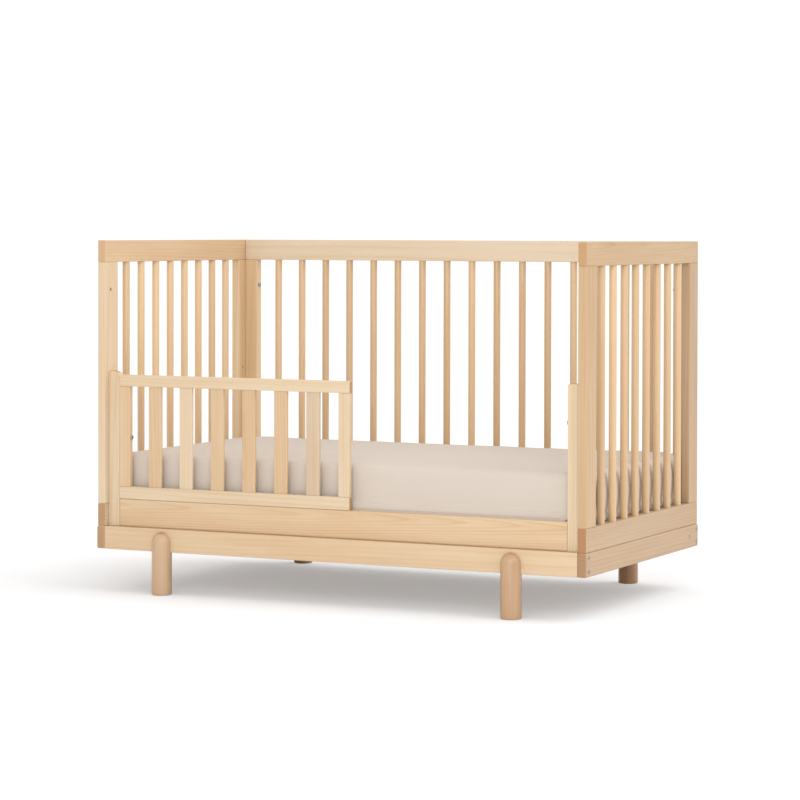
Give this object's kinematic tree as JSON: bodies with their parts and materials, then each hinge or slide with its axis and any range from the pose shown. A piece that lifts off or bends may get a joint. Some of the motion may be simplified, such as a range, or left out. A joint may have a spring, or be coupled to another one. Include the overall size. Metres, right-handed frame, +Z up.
{
  "type": "baby crib",
  "caption": "Baby crib set up as a toddler bed: spindle end and back panels, plinth base on domed legs, apron, half-length slatted guard, mattress on a steel deck.",
  "frame": {"origin": "on the floor, under the middle of the bed, at the centre of the bounding box's bottom", "axes": "+X along the bed towards its right end as seen from the open front, +Y from the open front to the back panel, +Z up"},
  "size_m": [1.38, 0.818, 0.912],
  "materials": {
    "pale_poplar": "clear matt lacquer on pale poplar",
    "spindle_beech": "clear matt lacquer on turned beech",
    "leg_beech": "clear satin lacquer on turned beech",
    "sheet_cotton": "plain woven cotton fitted sheet, warm grey-beige",
    "deck_steel": "pale grey powder coat",
    "fastener_steel": "bright zinc-plated steel"
  },
  "bodies": {
    "crib_frame": {"apron": "pale_poplar", "back_bottom_rail": "pale_poplar", "back_left_stile": "pale_poplar", "back_left_stile_bolt": "fastener_steel", "back_right_stile": "pale_poplar", "back_right_stile_bolt": "fastener_steel", "back_spindle_01": "spindle_beech", "back_spindle_02": "spindle_beech", "back_spindle_03": "spindle_beech", "back_spindle_04": "spindle_beech", "back_spindle_05": "spindle_beech", "back_spindle_06": "spindle_beech", "back_spindle_07": "spindle_beech", "back_spindle_08": "spindle_beech", "back_spindle_09": "spindle_beech", "back_spindle_10": "spindle_beech", "back_spindle_11": "spindle_beech", "back_spindle_12": "spindle_beech", "back_spindle_13": "spindle_beech", "back_spindle_14": "spindle_beech", "back_spindle_15": "spindle_beech", "back_spindle_16": "spindle_beech", "back_top_rail": "pale_poplar", "base_front_rail": "pale_poplar", "base_left_end_rail": "pale_poplar", "base_rear_rail": "pale_poplar", "base_right_end_rail": "pale_poplar", "guard_bolt": "fastener_steel", "guard_bottom_rail": "pale_poplar", "guard_end_stile": "pale_poplar", "guard_mounting_stile": "pale_poplar", "guard_screw": "fastener_steel", "guard_slat_1": "pale_poplar", "guard_slat_2": "pale_poplar", "guard_slat_3": "pale_poplar", "guard_slat_4": "pale_poplar", "guard_slat_5": "pale_poplar", "guard_slat_6": "pale_poplar", "guard_top_rail": "pale_poplar", "left_end_bottom_rail": "pale_poplar", "left_end_spindles": "spindle_beech", "left_end_top_rail": "pale_poplar", "left_front_post": "pale_poplar", "left_rear_post": "pale_poplar", "left_support_stile": "pale_poplar", "leg_front_left": "leg_beech", "leg_front_right": "leg_beech", "leg_rear_left": "leg_beech", "leg_rear_right": "leg_beech", "right_end_bottom_rail": "pale_poplar", "right_end_spindles": "spindle_beech", "right_end_top_rail": "pale_poplar", "right_front_post": "pale_poplar", "right_rear_post": "pale_poplar", "right_stile_bolt": "fastener_steel", "right_support_stile": "pale_poplar"},
    "mattress_support": {"mattress_support": "deck_steel"},
    "mattress": {"mattress": "sheet_cotton"}
  },
  "joints": [
    {"name": "mattress_support_height", "type": "slide", "parent": "crib_frame", "child": "mattress_support", "axis": [0, 0, 1], "range_m": [0, 0.3]},
    {"name": "mattress_lift", "type": "slide", "parent": "mattress_support", "child": "mattress", "axis": [0, 0, 1], "range_m": [0, 0.6]}
  ]
}
